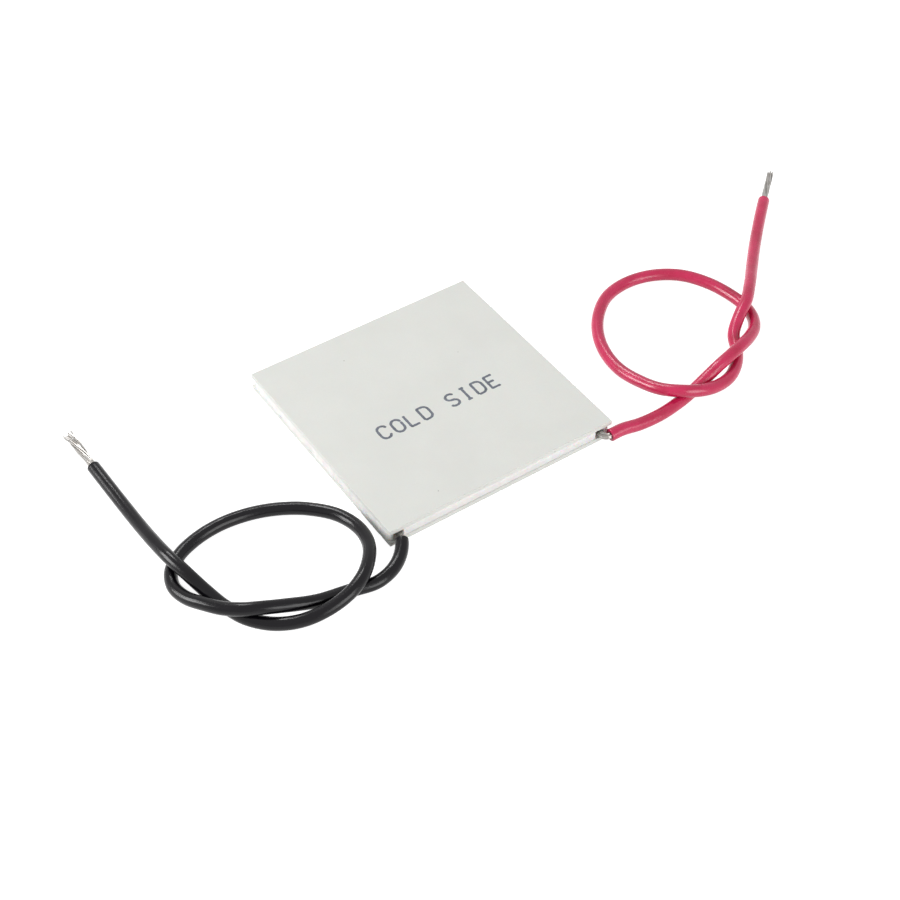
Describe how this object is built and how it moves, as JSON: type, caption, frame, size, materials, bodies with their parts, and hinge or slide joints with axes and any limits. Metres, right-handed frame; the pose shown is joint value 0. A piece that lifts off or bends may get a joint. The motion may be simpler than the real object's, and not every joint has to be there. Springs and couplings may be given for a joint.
{
  "type": "thermoelectric cooling module",
  "caption": "Flat square solid-state heat pump: ceramic plates over soldered semiconductor pellets and copper tabs, silicone edge seal, and a knotted black lead and red lead with stripped ends.",
  "frame": {"origin": "middle of the hot side plate's lower face", "axes": "+Z points from the hot side plate to the cold side plate; the leads leave at the -Y edge, the black one near -X and the red one near +X"},
  "size_m": [0.1345, 0.0533, 0.004],
  "materials": {
    "ceramic": "matt fired alumina",
    "copper": "satin copper sheet",
    "p_semiconductor": "sawn dark grey crystalline metal",
    "n_semiconductor": "sawn grey crystalline metal",
    "silicone_seal": "soft white silicone",
    "tinned_copper": "tinned stranded copper",
    "solder": "bright solder",
    "black_insulation": "semi-gloss black PVC",
    "red_insulation": "semi-gloss crimson PVC"
  },
  "bodies": {
    "root": {"hot_side_plate": "ceramic", "cold_side_plate": "ceramic", "hot_side_tabs": "copper", "cold_side_tabs": "copper", "black_lead_tab": "copper", "red_lead_tab": "copper", "p_pellets_row_01": "p_semiconductor", "p_pellets_row_02": "p_semiconductor", "p_pellets_row_03": "p_semiconductor", "p_pellets_row_04": "p_semiconductor", "p_pellets_row_05": "p_semiconductor", "p_pellets_row_06": "p_semiconductor", "p_pellets_row_07": "p_semiconductor", "p_pellets_row_08": "p_semiconductor", "p_pellets_row_09": "p_semiconductor", "p_pellets_row_10": "p_semiconductor", "p_pellets_row_11": "p_semiconductor", "p_pellets_row_12": "p_semiconductor", "p_pellets_row_13": "p_semiconductor", "p_pellets_row_14": "p_semiconductor", "p_pellets_row_15": "p_semiconductor", "p_pellets_row_16": "p_semiconductor", "n_pellets_row_01": "n_semiconductor", "n_pellets_row_02": "n_semiconductor", "n_pellets_row_03": "n_semiconductor", "n_pellets_row_04": "n_semiconductor", "n_pellets_row_05": "n_semiconductor", "n_pellets_row_06": "n_semiconductor", "n_pellets_row_07": "n_semiconductor", "n_pellets_row_08": "n_semiconductor", "n_pellets_row_09": "n_semiconductor", "n_pellets_row_10": "n_semiconductor", "n_pellets_row_11": "n_semiconductor", "n_pellets_row_12": "n_semiconductor", "n_pellets_row_13": "n_semiconductor", "n_pellets_row_14": "n_semiconductor", "n_pellets_row_15": "n_semiconductor", "n_pellets_row_16": "n_semiconductor", "seal_front": "silicone_seal", "seal_sides_and_back": "silicone_seal", "black_lead_conductor": "tinned_copper", "black_lead_solder": "solder", "black_lead": "black_insulation", "black_lead_bare_end": "tinned_copper", "red_lead_conductor": "tinned_copper", "red_lead_solder": "solder", "red_lead": "red_insulation", "red_lead_bare_end": "tinned_copper"}
  },
  "joints": []
}
